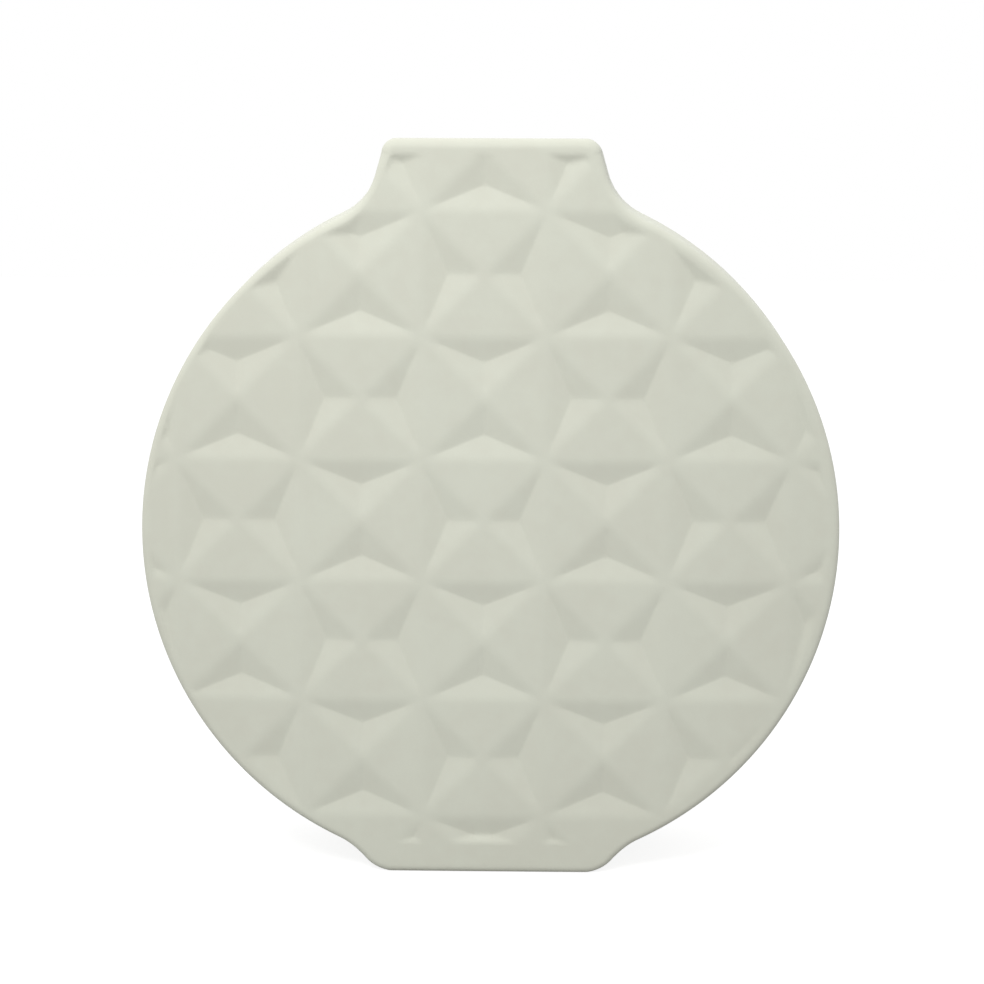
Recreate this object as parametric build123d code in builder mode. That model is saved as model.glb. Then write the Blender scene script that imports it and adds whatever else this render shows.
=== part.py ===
from build123d import *
import math
import os

# Pillow vase: a flat round body with a short flared neck and a small foot, made of two
# moulded porcelain halves that meet at a seam in the plane Y = 0. The front faces -Y,
# Z is up, and the origin lies under the middle of the foot. Millimetres and degrees.

# Overall form
overall_height = 210.0
body_depth = 54.0
edge_depth = 51.0
wall = 4.5
draft_angle = 3.0

# Neck and lip: the lip stands above the body's circle by the neck's rise
neck_rise = 11.2
lip_width = 60.8
neck_flare_angle = 16.0
neck_blend = 18.0
lip_corner = 5.0

# Foot: the sole cuts a little off the bottom of the body's circle
sole_cut = 1.2
foot_width = 67.0
foot_flare_angle = 45.0
foot_blend = 20.0
foot_corner = 12.0

# Rounded edges: outside face, mouth and inside corner
face_round = 2.2
mouth_round = 0.7
cavity_round = 4.0

# Faceted relief: a checkerboard of squares, each with two three-sided pits
relief_pitch = 34.6
relief_depth = 1.6
relief_land = 0.3
relief_lift = 5.0
relief_shift = -1.8
relief_margin = 3.6
relief_border_shift = -0.75
relief_lip_band = 3.6
relief_foot_band = 9.3
smallest_pit_share = 0.02

# Floor, luting slip and glaze
floor_rise = 3.0
floor_thickness = 5.0
seam_slip_thickness = 0.4
floor_slip_thickness = 0.4
glaze_thickness = 0.3
glaze_lip_gap = 2.5

# Sizes that follow from those above
body_radius = (overall_height - neck_rise + sole_cut) / 2
body_centre_height = body_radius - sole_cut
half_depth = body_depth / 2
crown_rise = (body_depth - edge_depth) / 2
crown_radius = (body_radius**2 + crown_rise**2) / (2 * crown_rise)
crown_centre_y = crown_radius - half_depth
end_overrun = (neck_blend + foot_blend) / 2
relief_height = body_centre_height + relief_lift
relief_reach = body_radius + relief_pitch / 2
pit_inradius = relief_pitch * (math.sqrt(2) - 1) / 2
floor_top = floor_rise + floor_thickness
slab_span = 2 * overall_height + 2 * body_radius

os.makedirs("parts", exist_ok=True)


def flank(top, half_width, angle, inset):
    """Ends of a neck or foot flank, drawn in by `inset`: one beyond the lip or the sole,
    the other where the flank passes nearest to the middle of the body."""
    flare = math.radians(angle)
    drop = overall_height - body_centre_height if top else body_centre_height
    longest = drop * math.cos(flare) - half_width * math.sin(flare)
    ends = []
    for along in (-end_overrun, longest):
        reach = half_width - inset / math.cos(flare) + along * math.sin(flare)
        rise = along * math.cos(flare)
        ends.append((reach, overall_height - rise if top else rise))
    return ends


def front_outline(inset):
    """Outline of the vase seen from the front, drawn in by `inset`, with the neck and the
    foot running on past the lip and the sole."""
    with BuildSketch(Plane.XZ) as outline:
        with Locations((0, body_centre_height)):
            Circle(body_radius - inset)
        for top, half_width, angle in (
            (True, lip_width / 2, neck_flare_angle),
            (False, foot_width / 2, foot_flare_angle),
        ):
            outer, inner = flank(top, half_width, angle, inset)
            with BuildLine():
                Polyline(outer, inner, (-inner[0], inner[1]), (-outer[0], outer[1]), close=True)
            make_face()
        fillet(outline.vertices().group_by(Axis.Y)[-2], neck_blend + inset)
        fillet(outline.vertices().group_by(Axis.Y)[1], foot_blend + inset)
    return outline.sketch


def half_blank(inset):
    """Front half of the pillow form, drawn in by `inset` all round: drafted sides that
    narrow away from the seam, closed by the crowned face."""
    with BuildPart() as blank:
        extrude(front_outline(inset), amount=half_depth, taper=draft_angle)
        with Locations((0, crown_centre_y, body_centre_height)):
            Sphere(crown_radius - inset, mode=Mode.INTERSECT)
    return blank.part


def half_cavity(inset):
    """Front half of the hollow inside, open past the lip and past the sole."""
    with BuildPart() as cavity:
        add(half_blank(inset))
        crown = cavity.faces().filter_by(GeomType.SPHERE)
        rims = crown.edges().filter_by_position(Axis.Z, 0, overall_height)
        fillet(rims, wall + cavity_round - inset)
    return cavity.part


def cavity_between(inset, bottom, top):
    """The hollow inside of both halves, drawn in by `inset`, between two heights."""
    with BuildPart() as cavity:
        add(half_cavity(inset))
        mirror(about=Plane.XZ)
        with BuildSketch(Plane.XY.offset(bottom)):
            Rectangle(slab_span, slab_span)
        extrude(amount=top - bottom, mode=Mode.INTERSECT)
    return cavity.part


def pit_planes():
    """Planes of the pits on the crowned face: origin over the pit's deepest point, Y
    towards the middle of the pit's square and Z out of the face."""
    planes = []
    count = math.ceil(relief_reach / relief_pitch) + 1
    crown_centre = Vector(0, crown_centre_y, body_centre_height)
    for column in range(-count, count + 1):
        for row in range(-count, count + 1):
            centre_x = relief_shift + column * relief_pitch
            centre_z = relief_height + row * relief_pitch
            sideways = (column + row) % 2 == 0
            for side in (-1, 1):
                inward = Vector(-side, 0, 0) if sideways else Vector(0, 0, -side)
                spot = Vector(centre_x, 0, centre_z) - inward * (relief_pitch / 2 - pit_inradius)
                away = math.hypot(spot.X, spot.Z - body_centre_height)
                if away > relief_reach:
                    continue
                spot.Y = crown_centre_y - math.sqrt(crown_radius**2 - away**2)
                normal = (spot - crown_centre).normalized()
                planes.append(Plane(spot, x_dir=inward.cross(normal), z_dir=normal))
    return planes


# One pit: a three-sided pyramid with equally steep sides, point down, which reaches out of
# the crowned face by half of the land that it leaves to its neighbours
with BuildPart() as pit:
    pit_slope = relief_depth / (pit_inradius - relief_land)
    mouth_scale = 1 - relief_land / 2 / pit_inradius
    corner_x = mouth_scale * relief_pitch / 2
    base_y = -mouth_scale * pit_inradius
    with BuildSketch(Plane.XY.offset(pit_slope * relief_land / 2)) as pit_mouth:
        with BuildLine():
            Polyline((-corner_x, base_y), (corner_x, base_y), (0, base_y + corner_x), close=True)
        make_face()
    loft(sections=[pit_mouth.face(), Vertex(0, 0, -relief_depth)], ruled=True)

# Field of the relief: the face inside the plain border, the lip band and the foot band
with BuildPart() as relief_field:
    with BuildSketch(Plane.XZ):
        with Locations((relief_border_shift, 0)):
            add(front_outline(relief_margin))
        field_height = overall_height - relief_lip_band - relief_foot_band
        with Locations((0, relief_foot_band + field_height / 2)):
            Rectangle(slab_span, field_height, mode=Mode.INTERSECT)
    extrude(amount=body_depth)

# All pits of one face that keep more than a sliver inside the field
with BuildPart() as relief:
    with Locations(*[Location(plane) for plane in pit_planes()]):
        add(pit.part)
    add(relief_field.part, mode=Mode.INTERSECT)
smallest_pit = smallest_pit_share * pit.part.volume
pits = relief.solids().filter_by(lambda solid: solid.volume > smallest_pit)

with BuildPart() as front_shell:
    add(half_blank(0))
    with BuildSketch(Plane.XY):
        Rectangle(slab_span, slab_span)
    extrude(amount=overall_height, mode=Mode.INTERSECT)
    for end, corner in ((0, foot_corner), (-1, lip_corner)):
        end_edges = front_shell.faces().sort_by(Axis.Z)[end].edges().sort_by(Axis.X)
        fillet([end_edges[0], end_edges[-1]], corner)
    fillet(front_shell.faces().filter_by(GeomType.SPHERE).edges(), face_round)
    add(half_cavity(wall), mode=Mode.SUBTRACT)
    lip_edges = front_shell.edges(Select.LAST).group_by(Axis.Z)[-1]
    fillet(lip_edges.filter_by_position(Axis.Y, -half_depth, -seam_slip_thickness / 2), mouth_round)
    seam_faces = front_shell.faces().filter_by(Axis.Y).sort_by(Axis.X)
    split(bisect_by=Plane.XZ.offset(seam_slip_thickness / 2), keep=Keep.TOP)
    add(pits, mode=Mode.SUBTRACT)
front_shell.part.label = "front_shell"
export_step(front_shell.part, "parts/front_shell.step")

with BuildPart() as back_shell:
    mirror(front_shell.part, about=Plane.XZ)
back_shell.part.label = "back_shell"
export_step(back_shell.part, "parts/back_shell.step")

# Slip in the seam, as wide as the wall, from the sole up both sides to the lip
with BuildPart() as seam_slip_left:
    extrude(seam_faces[0], amount=seam_slip_thickness / 2, both=True)
seam_slip_left.part.label = "seam_slip_left"
export_step(seam_slip_left.part, "parts/seam_slip_left.step")

with BuildPart() as seam_slip_right:
    extrude(seam_faces[-1], amount=seam_slip_thickness / 2, both=True)
seam_slip_right.part.label = "seam_slip_right"
export_step(seam_slip_right.part, "parts/seam_slip_right.step")

# Floor let in between the foot's walls, with slip all round its edge
with BuildPart() as floor_plate:
    add(cavity_between(wall + floor_slip_thickness, floor_rise, floor_top))
floor_plate.part.label = "floor_plate"
export_step(floor_plate.part, "parts/floor_plate.step")

with BuildPart() as floor_slip:
    add(cavity_between(wall, floor_rise, floor_top))
    add(floor_plate.part, mode=Mode.SUBTRACT)
floor_slip.part.label = "floor_slip"
export_step(floor_slip.part, "parts/floor_slip.step")

# Glaze over the floor and the whole inside, up to a little below the lip
with BuildPart() as inner_glaze:
    glaze_top = overall_height - glaze_lip_gap
    add(cavity_between(wall, floor_top, glaze_top))
    glaze_floor = floor_top + glaze_thickness
    add(cavity_between(wall + glaze_thickness, glaze_floor, glaze_top), mode=Mode.SUBTRACT)
inner_glaze.part.label = "inner_glaze"
export_step(inner_glaze.part, "parts/inner_glaze.step")
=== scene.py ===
"""Looks of the pillow vase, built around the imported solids.

A flat round porcelain body with a short flared neck and a small foot. Both faces carry a
relief of sunk facets on a checkerboard of squares. Sizes are in millimetres until a mesh is
made; Blender's own units are metres. The front faces -Y and Z is up.
"""

from __future__ import annotations

import itertools
import logging
import math
from dataclasses import dataclass, field
from enum import Enum
from typing import Any

import bmesh
import bpy
import numpy as np
from mathutils import Matrix, Vector
from mathutils.geometry import delaunay_2d_cdt


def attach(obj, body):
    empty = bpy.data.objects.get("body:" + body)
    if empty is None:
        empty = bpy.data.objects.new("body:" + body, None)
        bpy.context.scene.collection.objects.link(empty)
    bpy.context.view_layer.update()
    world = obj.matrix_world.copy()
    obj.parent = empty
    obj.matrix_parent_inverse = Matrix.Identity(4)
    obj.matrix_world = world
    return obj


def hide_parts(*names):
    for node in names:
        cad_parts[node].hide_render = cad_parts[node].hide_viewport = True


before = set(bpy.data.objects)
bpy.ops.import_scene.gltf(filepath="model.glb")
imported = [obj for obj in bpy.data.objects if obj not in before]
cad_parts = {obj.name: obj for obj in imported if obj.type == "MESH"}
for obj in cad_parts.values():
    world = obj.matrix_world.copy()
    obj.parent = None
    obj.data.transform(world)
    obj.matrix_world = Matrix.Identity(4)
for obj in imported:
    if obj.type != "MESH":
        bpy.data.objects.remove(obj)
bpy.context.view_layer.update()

LOG = logging.getLogger("pillow_vase")
MM = 0.001
BODY = "root"
LEVEL_AXES = (0, 1)
FRONT_AXES = (0, 2)

Rgba = tuple[float, float, float, float]


class End(Enum):
    """The two flat ends of the vase's outline."""

    LIP = "lip"
    SOLE = "sole"


class Slot(Enum):
    """Names of the record's material slots."""

    BISQUE = "bisque"
    GLAZE = "glaze"


def linear(red: float, green: float, blue: float) -> Rgba:
    """Turns an sRGB colour into the linear colour that shader sockets take.

    Args:
        red: Red level, 0 to 255.
        green: Green level, 0 to 255.
        blue: Blue level, 0 to 255.

    Returns:
        Linear red, green and blue, and an alpha of 1.
    """
    levels = []
    for level in (red, green, blue):
        share = level / 255
        levels.append(share / 12.92 if share <= 0.04045 else ((share + 0.055) / 1.055) ** 2.4)
    return (levels[0], levels[1], levels[2], 1.0)


@dataclass(frozen=True)
class Value:
    """An output socket of a node. Arithmetic on one that gives a number adds Math nodes."""

    sheet: "NodeSheet"
    socket: bpy.types.NodeSocket

    def math(self, operation: str, *others: "Value | float") -> "Value":
        """Adds a Math node.

        Args:
            operation: Name of the Math node's operation.
            others: Second and third operand, where the operation takes them.

        Returns:
            The node's result.
        """
        inputs = dict(enumerate((self, *others)))
        return self.sheet.value("ShaderNodeMath", {"operation": operation}, inputs)

    def __add__(self, other: "Value | float") -> "Value":
        """Sum."""
        return self.math("ADD", other)

    def __radd__(self, other: float) -> "Value":
        """Sum with a plain number first."""
        return self.math("ADD", other)

    def __sub__(self, other: "Value | float") -> "Value":
        """Difference."""
        return self.math("SUBTRACT", other)

    def __rsub__(self, other: float) -> "Value":
        """Difference from a plain number."""
        return self.sheet.value("ShaderNodeMath", {"operation": "SUBTRACT"}, {0: other, 1: self})

    def __mul__(self, other: "Value | float") -> "Value":
        """Product."""
        return self.math("MULTIPLY", other)

    def __rmul__(self, other: float) -> "Value":
        """Product with a plain number first."""
        return self.math("MULTIPLY", other)

    def __truediv__(self, other: "Value | float") -> "Value":
        """Quotient."""
        return self.math("DIVIDE", other)

    def __abs__(self) -> "Value":
        """Size without the sign."""
        return self.math("ABSOLUTE")

    def least(self, other: "Value | float", soft: "Value | float") -> "Value":
        """Smaller of two values, blended over the length `soft`."""
        return self.math("SMOOTH_MIN", other, soft)

    def smaller(self, other: "Value | float") -> "Value":
        """Smaller of two values."""
        return self.math("MINIMUM", other)

    def larger(self, other: "Value | float") -> "Value":
        """Larger of two values."""
        return self.math("MAXIMUM", other)

    def rounded(self, other: "Value", radius: "Value") -> "Value":
        """Smaller of the distances from two edges, with their corner rounded.

        Args:
            other: Distance from the second edge.
            radius: Radius of the corner.

        Returns:
            The distance from the rounded line.
        """
        short = (radius - self).larger(0.0)
        other_short = (radius - other).larger(0.0)
        return self.smaller(other).larger(radius) - (short * short + other_short * other_short).math("SQRT")

    def softened(self, width: "Value") -> "Value":
        """A slope of 1 that starts at 0 and reaches its full pitch after `width`."""
        eased = self.larger(0.0).smaller(width)
        return eased * eased / (width * 2.0) + (self - width).larger(0.0)

    def step(self, low: float, high: float) -> "Value":
        """Smooth step from 0 at `low` to 1 at `high`."""
        settings = {"interpolation_type": "SMOOTHSTEP"}
        return self.sheet.value("ShaderNodeMapRange", settings, {0: self, 1: low, 2: high})


class NodeSheet:
    """A node tree that is written as expressions."""

    def __init__(self, tree: bpy.types.NodeTree) -> None:
        """Starts on an emptied tree.

        Args:
            tree: The tree to write.
        """
        self.tree = tree
        tree.nodes.clear()

    def node(
        self,
        kind: str,
        settings: dict[str, Any] | None = None,
        inputs: dict[int | str, Any] | None = None,
    ) -> bpy.types.Node:
        """Adds any node.

        Args:
            kind: Type name of the node.
            settings: Properties of the node, set before its sockets.
            inputs: Values or links of its input sockets, by number or name.

        Returns:
            The new node.
        """
        made = self.tree.nodes.new(kind)
        for name, setting in (settings or {}).items():
            setattr(made, name, setting)
        for key, given in (inputs or {}).items():
            source = given.socket if isinstance(given, Value) else given
            if isinstance(source, bpy.types.NodeSocket):
                self.tree.links.new(source, made.inputs[key])
            else:
                made.inputs[key].default_value = source
        return made

    def value(
        self,
        kind: str,
        settings: dict[str, Any] | None = None,
        inputs: dict[int | str, Any] | None = None,
        output: int | str = 0,
    ) -> Value:
        """Adds a node and takes one of its outputs.

        Args:
            kind: Type name of the node.
            settings: Properties of the node.
            inputs: Values or links of its input sockets.
            output: Number or name of the output.

        Returns:
            That output as a value.
        """
        return Value(self, self.node(kind, settings, inputs).outputs[output])

    def axes(self, vector: Value) -> list[Value]:
        """Splits a vector into its x, y and z."""
        parts = self.node("ShaderNodeSeparateXYZ", None, {0: vector})
        return [Value(self, socket) for socket in parts.outputs]

    def vector(self, operation: str, first: Any, second: Any = (0.0, 0.0, 0.0)) -> Value:
        """Adds a Vector Math node on two vectors and takes its vector."""
        return self.value("ShaderNodeVectorMath", {"operation": operation}, {0: first, 1: second})

    def scaled(self, vector: Value, factor: Value) -> Value:
        """A vector times a number."""
        return self.value("ShaderNodeVectorMath", {"operation": "SCALE"}, {0: vector, "Scale": factor})

    def mixed(self, share: Value, first: Any, second: Any) -> Value:
        """Mixes two colours.

        Args:
            share: Share of the second colour, 0 to 1.
            first: Colour at 0.
            second: Colour at 1.

        Returns:
            The mixed colour.
        """
        settings = {"data_type": "RGBA", "clamp_factor": True}
        return self.value("ShaderNodeMix", settings, {0: share, 6: first, 7: second}, 2)

    def noise(self, place: Value, blotch: float, detail: float = 2.0) -> Value:
        """Smooth noise about 0.5.

        Args:
            place: Coordinates to read, in metres.
            blotch: Size of one blotch in millimetres.
            detail: Number of finer layers.

        Returns:
            The noise.
        """
        inputs = {"Vector": place, "Scale": 1 / (blotch * MM), "Detail": detail}
        return self.value("ShaderNodeTexNoise", None, inputs)

    def attribute(self, name: str) -> Value:
        """A number that the piece's own mesh holds at each point."""
        return self.value("ShaderNodeAttribute", {"attribute_name": name}, None, "Fac")

    def bump(self, height: Value) -> Value:
        """Normal of a surface that is raised by a height in millimetres."""
        return self.value("ShaderNodeBump", None, {"Strength": 1.0, "Distance": MM, "Height": height})


@dataclass(frozen=True)
class Trace:
    """A line in the front view: points (x, z), their outward normals, and the share that
    each has in the drafted side, which is 0 on the flat lip and sole."""

    points: np.ndarray
    normals: np.ndarray
    side: np.ndarray

    @staticmethod
    def joined(parts: list["Trace"]) -> "Trace":
        """Puts traces in a row."""
        return Trace(
            np.concatenate([part.points for part in parts]),
            np.concatenate([part.normals for part in parts]),
            np.concatenate([part.side for part in parts]),
        )

    def picked(self, order: np.ndarray | slice) -> "Trace":
        """The trace's points at the given places, in that order."""
        return Trace(self.points[order], self.normals[order], self.side[order])

    def turned(self, scale: tuple[float, float], lift: float = 0.0) -> "Trace":
        """The trace mirrored by `scale` and then raised by `lift`."""
        return Trace(self.points * scale + (0.0, lift), self.normals * scale, self.side)

    def inside(self, places: np.ndarray) -> np.ndarray:
        """Distance of places from the line, inwards along the nearest point's normal.

        Args:
            places: Points (x, z).

        Returns:
            The distances, positive inside.
        """
        block_size = 4096
        found = []
        for start in range(0, len(places), block_size):
            gaps = self.points[None, :, :] - places[start:start + block_size, None, :]
            nearest = (gaps**2).sum(-1).argmin(1)
            rows = np.arange(len(nearest))
            found.append((gaps[rows, nearest] * self.normals[nearest]).sum(-1))
        return np.concatenate(found)


def arc_trace(
    centre: np.ndarray,
    radius: float,
    angles: tuple[float, float],
    step: float,
    hollow: bool = False,
    last: bool = False,
) -> Trace:
    """Samples an arc.

    Args:
        centre: Middle of the arc.
        radius: Its radius.
        angles: Angles of its two ends in radians.
        step: Largest spacing of the points.
        hollow: Whether the material lies outside the arc.
        last: Whether the end point is part of it.

    Returns:
        The sampled arc.
    """
    count = max(2, math.ceil(abs(angles[1] - angles[0]) * radius / step))
    turns = np.linspace(*angles, count + 1)[: count + int(last)]
    rays = np.stack((np.cos(turns), np.sin(turns)), -1)
    return Trace(centre + radius * rays, -rays if hollow else rays, np.ones(len(turns)))


def line_trace(start: np.ndarray, stop: np.ndarray, normal: np.ndarray, step: float, side: float) -> Trace:
    """Samples a straight run, without its last point.

    Args:
        start: First point.
        stop: End of the run.
        normal: Outward normal.
        step: Largest spacing of the points.
        side: Share in the drafted side, 0 or 1.

    Returns:
        The sampled run.
    """
    count = max(1, math.ceil(float(np.linalg.norm(stop - start)) / step))
    share = np.linspace(0, 1, count, endpoint=False)[:, None]
    return Trace(start + (stop - start) * share, np.repeat(normal[None], count, 0), np.full(count, side))


@dataclass(frozen=True)
class EndRun:
    """Construction of one flank of the neck or foot, with heights counted from its end."""

    start: np.ndarray
    out: np.ndarray
    flare: float
    corner: float
    blend: float
    blend_centre: np.ndarray
    body_centre: np.ndarray


@dataclass(frozen=True)
class VaseForm:
    """Sizes of the plain form, as the solids have them, apart from the softer lip."""

    overall_height: float = 210.0
    body_depth: float = 54.0
    edge_depth: float = 51.0
    wall: float = 4.5
    draft_angle: float = 3.0
    neck_rise: float = 11.2
    lip_width: float = 60.8
    neck_flare_angle: float = 16.0
    neck_blend: float = 18.0
    lip_corner: float = 5.0
    sole_cut: float = 1.2
    foot_width: float = 67.0
    foot_flare_angle: float = 45.0
    foot_blend: float = 20.0
    foot_corner: float = 12.0
    face_round: float = 2.2
    lip_round: float = 3.0
    lip_round_run: float = 12.0
    mouth_round: float = 0.7
    cavity_round: float = 4.0
    seam_slip: float = 0.4
    floor_top: float = 8.0
    glaze: float = 0.3
    glaze_lip_gap: float = 2.5

    @property
    def body_radius(self) -> float:
        """Radius of the round body."""
        return (self.overall_height - self.neck_rise + self.sole_cut) / 2

    @property
    def centre(self) -> np.ndarray:
        """Middle of the body in the front view."""
        return np.array((0.0, self.body_radius - self.sole_cut))

    @property
    def crown_radius(self) -> float:
        """Radius of the sphere that a face is part of."""
        rise = (self.body_depth - self.edge_depth) / 2
        return (self.body_radius**2 + rise**2) / (2 * rise)

    @property
    def crown_centre(self) -> float:
        """Distance of that sphere's middle behind the seam."""
        return self.crown_radius - self.body_depth / 2

    @property
    def draft_slope(self) -> float:
        """Inward run of the side for each millimetre away from the seam."""
        return math.tan(math.radians(self.draft_angle))

    def crown_depth(self, places: np.ndarray, inset: float | np.ndarray = 0.0) -> np.ndarray:
        """Distance of the crowned face from the seam plane.

        Args:
            places: Points (x, z).
            inset: How far under the outside the face lies.

        Returns:
            The distances.
        """
        away = ((places - self.centre) ** 2).sum(-1)
        return np.sqrt((self.crown_radius - inset) ** 2 - away) - self.crown_centre

    def end_run(self, end: End, inset: float) -> EndRun:
        """Works out the flank at one end and its blend into the round body.

        Args:
            end: Lip or sole.
            inset: How far the outline is drawn in.

        Returns:
            The construction.
        """
        is_lip = end is End.LIP
        half_width = (self.lip_width if is_lip else self.foot_width) / 2
        flare = math.radians(self.neck_flare_angle if is_lip else self.foot_flare_angle)
        blend = (self.neck_blend if is_lip else self.foot_blend) + inset
        drop = self.overall_height - self.centre[1] if is_lip else self.centre[1]
        along = np.array((math.sin(flare), math.cos(flare)))
        out = np.array((math.cos(flare), -math.sin(flare)))
        start = np.array((half_width - inset / math.cos(flare), 0.0))
        body_centre = np.array((0.0, drop))
        reach = start + blend * out - body_centre
        toward = float(reach @ along)
        spare = float(reach @ reach) - (self.body_radius - inset + blend) ** 2
        run = -toward - math.sqrt(toward**2 - spare)
        return EndRun(
            start=start,
            out=out,
            flare=flare,
            corner=self.lip_corner if is_lip else self.foot_corner,
            blend=blend,
            blend_centre=start + run * along + blend * out,
            body_centre=body_centre,
        )

    def end_trace(self, end: End, inset: float, step: float, corner: bool) -> Trace:
        """Right half of the outline at one end, up to where the round body starts.

        Args:
            end: Lip or sole.
            inset: How far the outline is drawn in.
            step: Largest spacing of the points.
            corner: Whether the flat end and its rounded corner come first.

        Returns:
            The trace, walked away from the end.
        """
        run = self.end_run(end, inset)
        start = run.start
        parts = []
        if corner:
            shift = run.corner * (math.sin(run.flare) - 1) / math.cos(run.flare)
            pivot = np.array((start[0] + shift, run.corner))
            flat_end = np.array((pivot[0], 0.0))
            parts.append(line_trace(np.zeros(2), flat_end, np.array((0.0, -1.0)), step, 0.0))
            bend = arc_trace(pivot, run.corner, (-math.pi / 2, -run.flare), step / 2)
            parts.append(Trace(bend.points, bend.normals, np.linspace(0, 1, len(bend.side), False)))
            start = pivot + run.corner * run.out
        parts.append(line_trace(start, run.blend_centre - run.blend * run.out, run.out, step, 1.0))
        inward = run.body_centre - run.blend_centre
        angles = (math.pi - run.flare, math.atan2(inward[1], inward[0]))
        parts.append(arc_trace(run.blend_centre, run.blend, angles, step, hollow=True))
        trace = Trace.joined(parts)
        return trace.turned((1.0, -1.0), self.overall_height) if end is End.LIP else trace

    def side_trace(self, inset: float, step: float, corner: bool = False) -> Trace:
        """Right side of the outline, from the sole up to the lip.

        Args:
            inset: How far the outline is drawn in.
            step: Largest spacing of the points.
            corner: Whether the flat sole and lip are part of it.

        Returns:
            The trace.
        """
        angles = []
        for end, sign in ((End.SOLE, 1.0), (End.LIP, -1.0)):
            run = self.end_run(end, inset)
            outward = run.blend_centre - run.body_centre
            angles.append(math.atan2(sign * outward[1], outward[0]))
        foot = self.end_trace(End.SOLE, inset, step, corner)
        neck = self.end_trace(End.LIP, inset, step, corner)
        belly = arc_trace(self.centre, self.body_radius - inset, (angles[0], angles[1]), step, last=True)
        return Trace.joined([foot, belly, neck.picked(slice(None, None, -1))])

    def outline(self, step: float) -> Trace:
        """Whole outline, anticlockwise from the right end of the flat sole.

        Args:
            step: Largest spacing of the points.

        Returns:
            The closed trace.
        """
        right = self.side_trace(0.0, step, corner=True)
        left = right.picked(slice(-2, 0, -1)).turned((-1.0, 1.0))
        whole = Trace.joined([right, left])
        first = int(np.flatnonzero(whole.side > 0)[0]) - 1
        return whole.picked(np.roll(np.arange(len(whole.side)), -first))


class Skin:
    """Points and faces of one mesh, in millimetres."""

    def __init__(self) -> None:
        """Starts with nothing."""
        self.blocks: list[np.ndarray] = []
        self.faces: list[tuple[int, ...]] = []
        self.count = 0

    def add(self, points: np.ndarray) -> np.ndarray:
        """Adds points.

        Args:
            points: Array whose last axis is x, y, z.

        Returns:
            Their numbers, in an array of the same layout.
        """
        flat = points.reshape(-1, 3)
        numbers = np.arange(self.count, self.count + len(flat)).reshape(points.shape[:-1])
        self.blocks.append(flat)
        self.count += len(flat)
        return numbers

    def weave(self, rows: np.ndarray, closed: bool = False) -> None:
        """Adds the squares between neighbouring rows of points.

        Args:
            rows: Numbers of the points, one row after the other.
            closed: Whether each row runs back to its start.
        """
        across = np.concatenate((rows, rows[:, :1]), 1) if closed else rows
        corners = (across[:-1, :-1], across[:-1, 1:], across[1:, 1:], across[1:, :-1])
        self.faces.extend(map(tuple, np.stack(corners, -1).reshape(-1, 4).tolist()))

    def fill(self, loop: np.ndarray, axes: tuple[int, int], extra: np.ndarray | None = None) -> None:
        """Fills a closed loop with triangles.

        Args:
            loop: Numbers of the loop's points in order.
            axes: The two axes in which the loop is flat enough to fill.
            extra: Numbers of points inside the loop that the triangles use too.
        """
        numbers = loop if extra is None else np.concatenate((loop, extra))
        flat = np.concatenate(self.blocks)[numbers][:, axes]
        border = list(range(len(loop)))
        spots = [Vector(spot) for spot in flat.tolist()]
        inside_only = 1
        closeness = 1e-6
        _, _, faces, sources, _, _ = delaunay_2d_cdt(spots, [], [border], inside_only, closeness)
        origin = [int(numbers[given[0]]) for given in sources]
        self.faces.extend(tuple(origin[corner] for corner in face) for face in faces)

    def mesh(self, name: str) -> bpy.types.Mesh:
        """Makes the mesh in metres, with its faces outwards and smooth.

        Args:
            name: Name of the mesh.

        Returns:
            The mesh.
        """
        made = bpy.data.meshes.new(name)
        made.from_pydata((np.concatenate(self.blocks) * MM).tolist(), [], self.faces)
        work = bmesh.new()
        work.from_mesh(made)
        bmesh.ops.recalc_face_normals(work, faces=work.faces)
        work.to_mesh(made)
        work.free()
        made.polygons.foreach_set("use_smooth", [True] * len(made.polygons))
        return made


def place_piece(name: str, mesh: bpy.types.Mesh) -> bpy.types.Object:
    """Puts a mesh into the scene as an object at the origin.

    Args:
        name: Name of the object.
        mesh: Its mesh.

    Returns:
        The object.
    """
    made = bpy.data.objects.new(name, mesh)
    bpy.context.scene.collection.objects.link(made)
    return made


def sharpen(mesh: bpy.types.Mesh, angle: float) -> None:
    """Marks the edges that turn by more than an angle in degrees as sharp."""
    mesh.set_sharp_from_angle(angle=math.radians(angle))


def report(piece: bpy.types.Object) -> None:
    """Logs a finished piece with its number of triangles."""
    triangles = sum(len(face.vertices) - 2 for face in piece.data.polygons)
    LOG.info("%s: %d triangles", piece.name, triangles)


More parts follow.
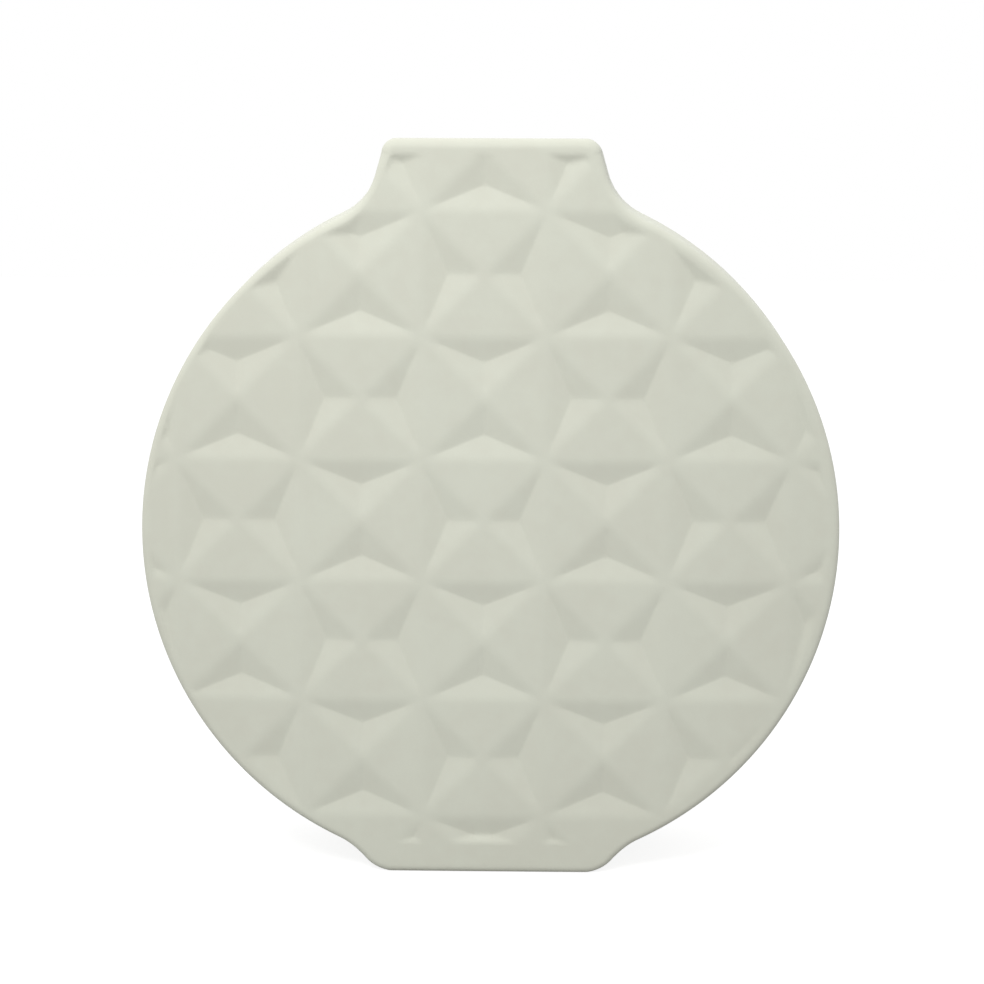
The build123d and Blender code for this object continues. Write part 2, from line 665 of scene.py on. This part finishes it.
@dataclass(frozen=True)
class FacetRelief:
    """Relief of three-sided pits, two in each square of a checkerboard. The pits lie left and
    right in one kind of square, above and below in the other."""

    pitch: float = 34.6
    depth: float = 1.6
    land: float = 0.2
    tip_round: float = 2.8
    shift: float = -1.77
    lift: float = 4.97
    margin: float = 3.6
    border_shift: float = -0.75
    lip_band: float = 3.0
    foot_band: float = 9.3
    field_corner: float = 3.0
    foot_steepness: float = 1.7
    ridge_softness: float = 2.8
    ridge_fade: float = 2.0
    crease_softness: float = 0.8
    fold_softness: float = 2.0
    border_slope: float = 0.42
    border_softness: float = 0.6
    border_crease: float = 0.3

    def field(self, form: VaseForm, outline: Trace, places: np.ndarray) -> np.ndarray:
        """How far places lie inside the field that carries the relief.

        Args:
            form: Sizes of the vase.
            outline: Its outline.
            places: Points (x, z).

        Returns:
            Distances from the field's border, negative outside.
        """
        heights = places[:, 1]
        below_lip = form.overall_height - self.lip_band - heights
        above_foot = (heights - self.foot_band) * self.foot_steepness
        from_side = outline.inside(places - (self.border_shift, 0.0)) - self.margin
        from_end = np.minimum(below_lip, above_foot)
        short = np.maximum(self.field_corner - np.stack((from_side, from_end)), 0)
        nearest = np.maximum(np.minimum(from_side, from_end), self.field_corner)
        return nearest - np.hypot(*short)

    @property
    def inradius(self) -> float:
        """Distance of a pit's deepest point from its edges."""
        return self.pitch * (math.sqrt(2) - 1) / 2

    def crease_gaps(self, form: VaseForm, places: np.ndarray) -> np.ndarray:
        """Distance of places from the nearest crease of the pit that they lie in.

        Args:
            form: Sizes of the vase.
            places: Points (x, z).

        Returns:
            The distances, infinite outside the pits.
        """
        spots = places - (self.shift, form.centre[1] + self.lift)
        cells = np.round(spots / self.pitch)
        spots = spots - cells * self.pitch
        upright = cells.sum(-1) % 2 == 1
        along = np.abs(np.where(upright, spots[:, 1], spots[:, 0]))
        beside = np.abs(np.where(upright, spots[:, 0], spots[:, 1]))
        leg = (along - beside) * math.sqrt(0.5)
        base = self.pitch / 2 - along
        to_base = np.abs(leg - base) / (2 * math.cos(math.pi / 8))
        gaps = np.where(beside * math.sqrt(2) < np.maximum(base - leg, 0), beside, to_base)
        return np.where(leg > 0, gaps, np.inf)

    def crease_rows(self, form: VaseForm, step: float, gap: float) -> np.ndarray:
        """Points along the creases of all pits, with one more row on either side.

        Args:
            form: Sizes of the vase.
            step: Spacing of the points along a crease.
            gap: Distance of the side rows.

        Returns:
            The points (x, z).
        """
        count = math.ceil(form.body_radius / self.pitch) + 1
        tip_gap = 2 * step
        rows = []
        cells = range(-count, count + 1)
        for column, row, side in itertools.product(cells, cells, (-1, 1)):
            out = np.array((0.0, side)) if (column + row) % 2 else np.array((side, 0.0))
            across = out[::-1]
            middle = np.array((column, row)) * self.pitch + (self.shift, form.centre[1] + self.lift)
            deepest = middle + out * (self.pitch / 2 - self.inradius)
            rows.append(deepest[None])
            base = middle + out * self.pitch / 2
            for corner in (middle, base + across * self.pitch / 2, base - across * self.pitch / 2):
                length = float(np.linalg.norm(corner - deepest))
                ahead = (corner - deepest) / length
                aside = np.array((-ahead[1], ahead[0]))
                run = np.arange(step, length - tip_gap, step)[:, None]
                rows.extend(deepest + run * ahead + offset * aside for offset in (-gap, 0.0, gap))
        return np.concatenate(rows)

    def lengths(self, form: VaseForm) -> dict[str, float]:
        """Sizes that the node tree takes.

        Args:
            form: Sizes of the vase.

        Returns:
            Values of its named inputs, in metres where they are lengths.
        """
        return {
            "Pitch": self.pitch * MM,
            "Pit Slope": self.depth / self.inradius,
            "Sideways Shift": self.shift * MM,
            "Grid Height": (form.centre[1] + self.lift) * MM,
            "Land": self.land * MM,
            "Tip Round": self.tip_round * MM,
            "Ridge Softness": self.ridge_softness * MM,
            "Crease Softness": self.crease_softness * MM,
            "Fold Softness": self.fold_softness * MM,
            "Border Slope": self.border_slope,
            "Border Softness": self.border_softness * MM,
            "Border Crease": self.border_crease * MM,
            "Crown Centre": form.crown_centre * MM,
            "Body Height": form.centre[1] * MM,
        }

    def tree(self, form: VaseForm, material: bpy.types.Material) -> bpy.types.NodeTree:
        """Builds the node tree that sinks the pits into a crowned face.

        Args:
            form: Sizes of the vase.
            material: Material of the result.

        Returns:
            The tree, with one named input for each size.
        """
        tree = bpy.data.node_groups.new("facet_relief", "GeometryNodeTree")
        sheet = NodeSheet(tree)
        tree.interface.new_socket("Geometry", in_out="INPUT", socket_type="NodeSocketGeometry")
        tree.interface.new_socket("Geometry", in_out="OUTPUT", socket_type="NodeSocketGeometry")
        for name in self.lengths(form):
            tree.interface.new_socket(name, in_out="INPUT", socket_type="NodeSocketFloat")
        enter = sheet.node("NodeGroupInput")
        size = {name: Value(sheet, enter.outputs[name]) for name in self.lengths(form)}
        place = sheet.value("GeometryNodeInputPosition")
        across, _, up = sheet.axes(place)
        across = across - size["Sideways Shift"]
        up = up - size["Grid Height"]
        column = (across / size["Pitch"]).math("ROUND")
        row = (up / size["Pitch"]).math("ROUND")
        across = across - column * size["Pitch"]
        up = up - row * size["Pitch"]
        upright = (column + row).math("FLOORED_MODULO", 2.0)
        along = abs(across + (up - across) * upright)
        beside = up + (across - up) * upright
        half = size["Pitch"] / 2.0
        crease = size["Crease Softness"]
        left = (along - beside) * math.sqrt(0.5)
        right = (along + beside) * math.sqrt(0.5)
        base = half - along
        within = left.least(right, size["Fold Softness"]).least(base, crease)
        for leg, edge in ((left, right), (left, base), (right, base)):
            within = within.smaller(leg.rounded(edge, size["Tip Round"]))
        reach = within.larger(abs(beside) - half)
        ridge = size["Ridge Softness"]
        pit = (reach - size["Land"] + ridge / 2.0).softened(ridge) * size["Pit Slope"]
        named = {"data_type": "FLOAT"}
        field_place = sheet.value("GeometryNodeInputNamedAttribute", named, {"Name": "field"})
        border = field_place.softened(size["Border Softness"]) * size["Border Slope"]
        sunk = pit.least(border, size["Border Crease"]).larger(0.0)
        heart = {1: size["Crown Centre"], 2: size["Body Height"]}
        middle = sheet.value("ShaderNodeCombineXYZ", None, heart)
        inward = sheet.vector("NORMALIZE", sheet.vector("SUBTRACT", middle, place))
        moved = sheet.value(
            "GeometryNodeSetPosition",
            None,
            {"Geometry": enter.outputs["Geometry"], "Offset": sheet.scaled(inward, sunk)},
        )
        on_field = (field_place / (self.ridge_fade * MM)).larger(0.0).smaller(1.0)
        # pit_depth drives the bisque's painted shade in the pits; ridge drives its painted highlight and
        # smoother finish on the ridges.
        kept = {
            "pit_depth": sunk / (self.depth * MM),
            "ridge": (1.0 - abs(reach) / ridge).larger(0.0) * on_field,
        }
        for name, given in kept.items():
            inputs = {"Geometry": moved, "Name": name, "Value": given}
            moved = sheet.value("GeometryNodeStoreNamedAttribute", named, inputs)
        real = sheet.value("GeometryNodeRealizeInstances", None, {0: moved})
        dressed = sheet.value("GeometryNodeSetMaterial", None, {0: real, "Material": material})
        sheet.node("NodeGroupOutput", None, {0: dressed})
        return tree

    def carve(
        self, form: VaseForm, blank: bpy.types.Object, material: bpy.types.Material
    ) -> bpy.types.Mesh:
        """Sinks the relief into a blank and takes the result as a plain mesh.

        Args:
            form: Sizes of the vase.
            blank: Object whose mesh holds the attribute "field".
            material: Material of the result.

        Returns:
            The carved mesh.
        """
        modifier = blank.modifiers.new("facet_relief", "NODES")
        modifier.node_group = self.tree(form, material)
        lengths = self.lengths(form)
        for item in modifier.node_group.interface.items_tree:
            if item.in_out == "INPUT" and item.name in lengths:
                modifier[item.identifier] = lengths[item.name]
        graph = bpy.context.evaluated_depsgraph_get()
        carved = bpy.data.meshes.new_from_object(
            blank.evaluated_get(graph), preserve_all_data_layers=True, depsgraph=graph
        )
        blank.modifiers.remove(modifier)
        return carved


@dataclass
class Hollow:
    """The space inside the vase, drawn in from the outside by `inset`."""

    form: VaseForm
    inset: float
    step: float = 1.0
    side_points: int = 5
    front_points: int = 80
    reference_depth: float = 20.0
    at_seam: Trace = field(init=False)
    at_face: Trace = field(init=False)

    def __post_init__(self) -> None:
        """Traces the wall at the seam and where the face begins."""
        self.at_seam = self.form.side_trace(self.inset, self.step)
        drawn = self.inset + self.form.draft_slope * self.reference_depth
        self.at_face = self.form.side_trace(drawn, self.step)

    def ring(self, height: float, seam_gap: float) -> np.ndarray:
        """Front half of the hollow's level section, from the left to the right.

        Args:
            height: Height of the section.
            seam_gap: Distance from the seam plane at which it starts.

        Returns:
            Points (x, y, z).
        """
        corner = self.form.wall + self.form.cavity_round - self.inset
        at_seam = np.interp(height, self.at_seam.points[:, 1], self.at_seam.points[:, 0])
        at_face = np.interp(height, self.at_face.points[:, 1], self.at_face.points[:, 0])
        wall_depth = float(self.form.crown_depth(np.array((at_face, height)), self.inset)) - corner
        across = np.sin(np.linspace(-math.pi / 2, math.pi / 2, self.front_points)) * at_face
        places = np.stack((np.abs(across), np.full_like(across, height)), -1)
        near = corner - np.clip(self.at_face.inside(places), 0, corner)
        depth = self.form.crown_depth(places, self.inset) - corner + np.sqrt(corner**2 - near**2)
        climb = np.linspace(seam_gap, wall_depth, self.side_points, endpoint=False)
        side = at_seam + (at_face - at_seam) * climb / wall_depth
        x = np.concatenate((-side, across, side[::-1]))
        y = -np.concatenate((climb, depth, climb[::-1]))
        return np.stack((x, y, np.full_like(x, height)), -1)

    def rings(self, heights: np.ndarray, seam_gap: float) -> np.ndarray:
        """Sections at several heights."""
        return np.stack([self.ring(float(height), seam_gap) for height in heights])


@dataclass
class HalfShell:
    """One moulded half of the vase: outside with relief, inside wall, lip, sole and seam."""

    form: VaseForm
    relief: FacetRelief
    grid: float = 0.78
    crease_gap: float = 0.32
    wall_rows: int = 5
    round_rows: int = 8
    mouth_rows: int = 5
    inside_levels: int = 80
    ball_rounds: int = 6
    border_clear: float = 0.55
    sharp_angle: float = 50.0

    def ball_rows(self, outline: Trace) -> tuple[np.ndarray, np.ndarray]:
        """Rolls a ball along the edge between the side and the crowned face.

        Args:
            outline: Outline of the vase.

        Returns:
            Seam points of the outline, and rows of points over the rounded edge.
        """
        form = self.form
        draft = np.radians(form.draft_angle) * outline.side
        below_lip = (form.overall_height - outline.points[:, 1]) / form.lip_round_run
        near_lip = np.clip(1 - below_lip, 0, 1)
        radius = form.face_round + (form.lip_round - form.face_round) * near_lip**2 * (3 - 2 * near_lip)
        depth = np.full(len(draft), form.edge_depth / 2)
        for _ in range(self.ball_rounds):
            drawn = radius / np.cos(draft) + np.tan(draft) * depth
            middle = outline.points - outline.normals * drawn[:, None]
            depth = form.crown_depth(middle, radius)
        ball = np.stack((middle[:, 0], -depth, middle[:, 1]), -1)
        out = np.cos(draft)[:, None] * outline.normals
        first = np.stack((out[:, 0], -np.sin(draft), out[:, 1]), -1)
        crown_middle = np.array((0.0, form.crown_centre, form.centre[1]))
        final = (ball - crown_middle) / (form.crown_radius - radius)[:, None]
        angle = np.arccos((first * final).sum(-1))[None, :, None]
        share = np.linspace(0, 1, self.round_rows + 1)[:, None, None]
        rays = (np.sin((1 - share) * angle) * first + np.sin(share * angle) * final) / np.sin(angle)
        gap = form.seam_slip / 2
        at_seam = outline.points - outline.normals * (np.tan(draft) * gap)[:, None]
        seam = np.stack((at_seam[:, 0], np.full(len(draft), -gap), at_seam[:, 1]), -1)
        return seam, ball + radius[:, None] * rays

    def face_places(self, ring: np.ndarray) -> np.ndarray:
        """Points of a grid and along the creases, well inside the face's border.

        Args:
            ring: Border of the face as points (x, z).

        Returns:
            The points (x, z).
        """
        low = ring.min(0)
        high = ring.max(0)
        xs = np.arange(low[0], high[0], self.grid)
        zs = np.arange(low[1], high[1], self.grid)
        spots = np.stack(np.meshgrid(xs, zs), -1).reshape(-1, 2)
        spots = spots[self.relief.crease_gaps(self.form, spots) > self.crease_gap + self.grid / 3]
        creases = self.relief.crease_rows(self.form, self.grid, self.crease_gap)
        spots = np.concatenate((spots, creases))
        ahead = np.roll(ring, -1, 0) - np.roll(ring, 1, 0)
        normals = np.stack((ahead[:, 1], -ahead[:, 0]), -1)
        normals /= np.linalg.norm(normals, axis=1)[:, None]
        border = Trace(ring, normals, np.ones(len(ring)))
        return spots[border.inside(spots) > self.border_clear * self.grid]

    def build(self, material: bpy.types.Material) -> bpy.types.Mesh:
        """Makes the front half's mesh with its relief.

        Args:
            material: Material of the shell.

        Returns:
            The mesh.
        """
        form = self.form
        outline = form.outline(self.grid)
        seam, rows = self.ball_rows(outline)
        skin = Skin()
        edge = skin.add(rows)
        skin.weave(edge, closed=True)
        face_ring = rows[-1][:, FRONT_AXES]
        places = self.face_places(face_ring)
        face = skin.add(np.stack((places[:, 0], -form.crown_depth(places), places[:, 1]), -1))
        skin.fill(edge[-1], FRONT_AXES, face)

        flat = np.flatnonzero(outline.side == 0)
        lip = flat[outline.points[flat, 1] > form.centre[1]]
        sole = flat[(outline.points[flat, 1] < form.centre[1]) & (flat > 0)]
        climb = np.arange(self.wall_rows)[:, None, None] / self.wall_rows
        sides = []
        for span in (np.arange(0, lip[0] + 1), np.arange(lip[-1], sole[0] + 1)):
            wall = skin.add(seam[span] + (rows[0][span] - seam[span]) * climb)
            sides.append(np.concatenate((wall, edge[:1, span])))
            skin.weave(sides[-1])
        right, left = sides

        hollow = Hollow(form, form.wall)
        gap = form.seam_slip / 2
        top = form.overall_height - form.mouth_round
        inside = hollow.rings(np.linspace(top, 0, self.inside_levels), gap)
        ahead = np.gradient(inside[0][:, :2], axis=0)
        ahead[[0, -1], 0] = 0.0
        out = np.stack((ahead[:, 1], -ahead[:, 0], np.zeros(len(ahead))), -1)
        out /= np.linalg.norm(out, axis=1)[:, None]
        turns = np.linspace(math.pi / 2, 0, self.mouth_rows, endpoint=False)[:, None, None]
        rise = np.array((0.0, 0.0, form.mouth_round))
        mouth = inside[0] + form.mouth_round * (1 - np.cos(turns)) * out + np.sin(turns) * rise
        inner = skin.add(np.concatenate((mouth, inside)))
        skin.weave(inner)

        sole_run = np.append(edge[0, sole], edge[0, 0])
        lip_loop = (right[:-1, -1], edge[0, lip], left[:-1, 0][::-1], inner[0])
        sole_loop = (left[:-1, -1], sole_run, right[:-1, 0][::-1], inner[-1][::-1])
        for loop in (lip_loop, sole_loop):
            skin.fill(np.concatenate(loop), LEVEL_AXES)
        for loop in ((right[0], inner[:, -1]), (left[0], inner[::-1, 0])):
            skin.fill(np.concatenate(loop), FRONT_AXES)

        blank = place_piece("relief_blank", skin.mesh("relief_blank"))
        far_outside = -1.0
        depths = np.full(skin.count, far_outside)
        depths[face] = self.relief.field(form, outline, places) * MM
        blank.data.attributes.new("field", "FLOAT", "POINT").data.foreach_set("value", depths)
        carved = self.relief.carve(form, blank, material)
        bpy.data.objects.remove(blank)
        return carved

    def pair(self, material: bpy.types.Material) -> list[bpy.types.Object]:
        """Makes the front shell and its mirrored twin at the back.

        Args:
            material: Material of both.

        Returns:
            The two pieces.
        """
        front = self.build(material)
        back = front.copy()
        back.transform(Matrix.Diagonal((1.0, -1.0, 1.0, 1.0)))
        back.flip_normals()
        pieces = []
        for name, mesh in (("front_shell", front), ("back_shell", back)):
            sharpen(mesh, self.sharp_angle)
            piece = place_piece(f"{name}_faceted", mesh)
            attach(piece, BODY)
            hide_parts(name)
            pieces.append(piece)
        return pieces


@dataclass
class GlazeLining:
    """Glaze that was poured inside, with a slightly wavy upper edge."""

    form: VaseForm
    levels: int = 110
    front_points: int = 110
    edge_wave: float = 0.35
    wave_fade: float = 6.0
    waves: tuple[tuple[float, int, float], ...] = ((0.5, 3, 0.7), (0.35, 7, 2.1), (0.15, 13, 0.0))
    sharp_angle: float = 60.0

    def build(self, material: bpy.types.Material) -> bpy.types.Object:
        """Makes the lining as a closed thin shell.

        Args:
            material: Material of the glaze.

        Returns:
            The piece.
        """
        form = self.form
        top = form.overall_height - form.glaze_lip_gap
        floor = form.floor_top
        skin = Skin()
        loops = []
        for inset, low in ((form.wall, floor), (form.wall + form.glaze, floor + form.glaze)):
            hollow = Hollow(form, inset, front_points=self.front_points)
            half = hollow.rings(np.linspace(top, low, self.levels), 0.0)
            back = half[:, -2:0:-1] * np.array((1.0, -1.0, 1.0))
            loops.append(skin.add(self.waved(np.concatenate((half, back), 1), top)))
        for loop in loops:
            skin.weave(loop, closed=True)
            skin.fill(loop[-1], LEVEL_AXES)
        skin.weave(np.stack((loops[0][0], loops[1][0])), closed=True)
        mesh = skin.mesh("inner_glaze_lining")
        sharpen(mesh, self.sharp_angle)
        mesh.materials.append(material)
        piece = place_piece("inner_glaze_lining", mesh)
        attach(piece, BODY)
        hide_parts("inner_glaze")
        return piece

    def waved(self, rings: np.ndarray, top: float) -> np.ndarray:
        """Lowers the upper edge in slow waves that fade out further down.

        Args:
            rings: Rows of points from the top downwards.
            top: Height of the first row.

        Returns:
            The moved points.
        """
        turn = np.arctan2(rings[0, :, 1], rings[0, :, 0])
        wave = np.ones_like(turn)
        for height, count, start in self.waves:
            wave += height * np.sin(count * turn + start)
        fade = np.exp(-(top - rings[..., 2]) / self.wave_fade)
        lowered = rings.copy()
        lowered[..., 2] -= self.edge_wave * wave[None, :] * fade
        return lowered


@dataclass(frozen=True)
class Finish:
    """What every finish needs: a name and a material with one Principled shader."""

    name: str
    tone_span: tuple[float, float] = (0.35, 0.65)
    ior: float = 1.5

    def begin(self) -> tuple[bpy.types.Material, NodeSheet, Value]:
        """Starts a material.

        Returns:
            The material, its sheet and the piece's own coordinates.
        """
        material = bpy.data.materials.new(self.name)
        material.use_nodes = True
        sheet = NodeSheet(material.node_tree)
        place = sheet.value("ShaderNodeTexCoord", None, None, "Object")
        return material, sheet, place

    def end(self, sheet: NodeSheet, inputs: dict[int | str, Any]) -> None:
        """Adds the Principled shader and the output.

        Args:
            sheet: Sheet of the material.
            inputs: Values and links of the shader.
        """
        shader = sheet.value("ShaderNodeBsdfPrincipled", None, inputs)
        sheet.node("ShaderNodeOutputMaterial", None, {"Surface": shader})


@dataclass(frozen=True)
class BisqueFinish(Finish):
    """Matt unglazed porcelain: fine grain, faint clouds of tone, smoother ridges with a painted
    highlight, painted shade in the pits and a worn sole."""

    name: str = "matt_bisque"
    pale: Rgba = linear(214, 216, 203)
    deep: Rgba = linear(211, 212, 199)
    worn: Rgba = linear(190, 184, 170)
    roughness: float = 0.6
    cloud_size: float = 45.0
    mottle_size: float = 5.0
    ripple_size: float = 2.4
    grain_size: float = 0.45
    ripple_height: float = 0.02
    grain_height: float = 0.006
    cloud_share: float = 0.6
    mottle_rough: float = 0.12
    rub_wobble: float = 1.6
    rub_span: tuple[float, float] = (0.6, 1.6)
    rub_tint: float = 0.5
    rub_rough: float = 0.2
    # Painted highlight: share by which the ridges are lightened towards the pale tone.
    painted_ridge_highlight: float = 0.25
    ridge_polish: float = 0.06
    # Painted shade: share by which the pits are darkened towards the deep tone.
    painted_pit_shade: float = 0.2
    specular: float = 0.35
    diffuse_roughness: float = 0.4
    carved: bool = True

    def material(self) -> bpy.types.Material:
        """Makes the material."""
        material, sheet, place = self.begin()
        clouds = sheet.noise(place, self.cloud_size, 3.0)
        mottle = sheet.noise(place, self.mottle_size, 3.0)
        ripple = sheet.noise(place, self.ripple_size)
        grain = sheet.noise(place, self.grain_size)
        tone = clouds * self.cloud_share + mottle * (1 - self.cloud_share)
        colour = sheet.mixed(tone.step(*self.tone_span), self.pale, self.deep)
        _, _, height = sheet.axes(place)
        clear = (height / MM + mottle * self.rub_wobble).step(*self.rub_span)
        rubbed = (1.0 - clear) * self.rub_tint
        colour = sheet.mixed(rubbed, colour, self.worn)
        rough = self.roughness + (mottle - 0.5) * self.mottle_rough + rubbed * self.rub_rough
        if self.carved:
            ridge = sheet.attribute("ridge")
            depth = sheet.attribute("pit_depth")
            # Painted highlight: the ridges are lightened towards the pale tone.
            colour = sheet.mixed(ridge * self.painted_ridge_highlight, colour, self.pale)
            # Painted shade: the pits are darkened towards the deep tone, the deeper parts more.
            colour = sheet.mixed(depth * self.painted_pit_shade, colour, self.deep)
            rough = rough - ridge * self.ridge_polish
        self.end(
            sheet,
            {
                "Base Color": colour,
                "Roughness": rough,
                "Normal": sheet.bump(grain * self.grain_height + ripple * self.ripple_height),
                "IOR": self.ior,
                "Specular IOR Level": self.specular,
                "Diffuse Roughness": self.diffuse_roughness,
            },
        )
        return material


@dataclass(frozen=True)
class GlazeFinish(Finish):
    """Clear glossy glaze over the white body, with a slight orange peel."""

    name: str = "clear_glaze"
    thick: Rgba = linear(224, 226, 214)
    thin: Rgba = linear(216, 216, 202)
    pool_size: float = 22.0
    peel_size: float = 3.2
    peel_height: float = 0.03
    roughness: float = 0.12
    pool_rough: float = 0.08
    coat: float = 0.6
    coat_roughness: float = 0.05

    def material(self) -> bpy.types.Material:
        """Makes the material."""
        material, sheet, place = self.begin()
        pool = sheet.noise(place, self.pool_size, 3.0)
        peel = sheet.noise(place, self.peel_size, 1.0)
        self.end(
            sheet,
            {
                "Base Color": sheet.mixed(pool.step(*self.tone_span), self.thick, self.thin),
                "Roughness": self.roughness + pool * self.pool_rough,
                "Normal": sheet.bump(peel * self.peel_height),
                "IOR": self.ior,
                "Coat Weight": self.coat,
                "Coat Roughness": self.coat_roughness,
            },
        )
        return material


@dataclass
class Studio:
    """White floor, soft light all round, one lamp and the camera at the photograph's angle."""

    form: VaseForm
    azimuth: float = 0.94
    elevation: float = 9.69
    roll: float = 0.22
    distance: float = 632.0
    focal: float = 78.6
    sensor_width: float = 36.0
    clip: tuple[float, float] = (10.0, 100000.0)
    shift: tuple[float, float] = (0.0008, 0.0313)
    dome: float = 0.79
    lamp_place: tuple[float, float, float] = (-200.0, -700.0, 780.0)
    lamp_target: tuple[float, float, float] = (-35.0, 0.0, 205.0)
    lamp_radius: float = 180.0
    lamp_power: float = 23.5
    beam_angle: float = 41.0
    beam_blend: float = 1.0
    floor_size: float = 6000.0
    floor_bounce: float = 0.42
    floor_pale: float = 0.86
    floor_glow: float = 1.35
    glow_share: float = 0.62

    def camera(self) -> None:
        """Sets the camera."""
        azimuth = math.radians(self.azimuth)
        elevation = math.radians(self.elevation)
        back = Vector(
            (
                math.sin(azimuth) * math.cos(elevation),
                -math.cos(azimuth) * math.cos(elevation),
                math.sin(elevation),
            )
        )
        lens = bpy.data.cameras.new("camera")
        lens.lens = self.focal
        lens.sensor_width = self.sensor_width
        lens.shift_x, lens.shift_y = self.shift
        lens.clip_start, lens.clip_end = (reach * MM for reach in self.clip)
        eye = bpy.data.objects.new("camera", lens)
        target = Vector((0.0, 0.0, float(self.form.centre[1])))
        turn = (-back).to_track_quat("-Z", "Y").to_matrix()
        turn = turn @ Matrix.Rotation(math.radians(self.roll), 3, "Z")
        eye.matrix_world = Matrix.Translation((target + back * self.distance) * MM) @ turn.to_4x4()
        bpy.context.scene.collection.objects.link(eye)
        bpy.context.scene.camera = eye

    def world(self) -> None:
        """Lights the scene from all round and shows white behind the object."""
        world = bpy.data.worlds.new("soft_dome")
        world.use_nodes = True
        bpy.context.scene.world = world
        sheet = NodeSheet(world.node_tree)
        path = sheet.node("ShaderNodeLightPath")
        seen = Value(sheet, path.outputs["Is Camera Ray"])
        seen = seen.larger(Value(sheet, path.outputs["Is Glossy Ray"]))
        seen = seen.larger(Value(sheet, path.outputs["Is Transmission Ray"]))
        strength = self.dome + (1.0 - self.dome) * seen
        white = {"Color": (1.0, 1.0, 1.0, 1.0), "Strength": strength}
        shader = sheet.value("ShaderNodeBackground", None, white)
        sheet.node("ShaderNodeOutputWorld", None, {"Surface": shader})

    def floor(self) -> None:
        """Lays the floor, which looks white and gives back only part of the light."""
        half = self.floor_size / 2
        skin = Skin()
        turns = ((-1, -1), (1, -1), (1, 1), (-1, 1))
        corners = skin.add(np.array([(x * half, y * half, 0.0) for x, y in turns]))
        skin.faces.append(tuple(corners.tolist()))
        mesh = skin.mesh("floor")
        material = bpy.data.materials.new("pale_floor")
        material.use_nodes = True
        sheet = NodeSheet(material.node_tree)
        path = sheet.node("ShaderNodeLightPath")
        seen = Value(sheet, path.outputs["Is Camera Ray"])
        dim, lit = (
            sheet.value("ShaderNodeBsdfDiffuse", None, {"Color": (grey, grey, grey, 1.0)})
            for grey in (self.floor_bounce, self.floor_pale)
        )
        white = {"Color": (1.0, 1.0, 1.0, 1.0), "Strength": self.floor_glow}
        glow = sheet.value("ShaderNodeEmission", None, white)
        pale = sheet.value("ShaderNodeMixShader", None, {0: self.glow_share, 1: lit, 2: glow})
        shown = sheet.value("ShaderNodeMixShader", None, {0: seen, 1: dim, 2: pale})
        sheet.node("ShaderNodeOutputMaterial", None, {"Surface": shown})
        mesh.materials.append(material)
        place_piece("floor", mesh)

    def lamp(self) -> None:
        """Hangs one soft lamp above, a little to the left, whose beam fades out downwards."""
        light = bpy.data.lights.new("soft_lamp", "SPOT")
        light.spot_size = math.radians(self.beam_angle)
        light.spot_blend = self.beam_blend
        light.shadow_soft_size = self.lamp_radius * MM
        light.energy = self.lamp_power
        lamp = bpy.data.objects.new("soft_lamp", light)
        place = Vector(self.lamp_place) * MM
        target = Vector(self.lamp_target) * MM
        turn = (target - place).to_track_quat("-Z", "Y").to_matrix().to_4x4()
        lamp.matrix_world = Matrix.Translation(place) @ turn
        bpy.context.scene.collection.objects.link(lamp)

    def build(self) -> None:
        """Sets up everything around the object."""
        bpy.context.scene.view_settings.view_transform = "Standard"
        self.camera()
        self.world()
        self.lamp()
        self.floor()


def dress_nodes(nodes: dict[str, bpy.types.Object], names: list[str], material: bpy.types.Material) -> None:
    """Gives solids whose shape is right their finish.

    Args:
        nodes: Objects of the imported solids.
        names: The nodes to dress.
        material: Their material.
    """
    for name in names:
        nodes[name].data.materials.clear()
        nodes[name].data.materials.append(material)
        report(nodes[name])


def main() -> None:
    """Builds the vase and the studio around it."""
    logging.basicConfig(level=logging.INFO, format="%(name)s %(message)s")
    form = VaseForm()
    bisque = BisqueFinish().material()
    plain = BisqueFinish(name="plain_bisque", carved=False).material()
    slip = BisqueFinish(name="luting_slip", carved=False, roughness=0.68).material()
    glaze = GlazeFinish().material()
    for shell in HalfShell(form, FacetRelief()).pair(bisque):
        report(shell)
    report(GlazeLining(form).build(glaze))
    dress_nodes(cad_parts, ["floor_plate"], plain)
    dress_nodes(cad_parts, ["seam_slip_left", "seam_slip_right", "floor_slip"], slip)
    Studio(form).build()


if __name__ == "__main__":
    main()
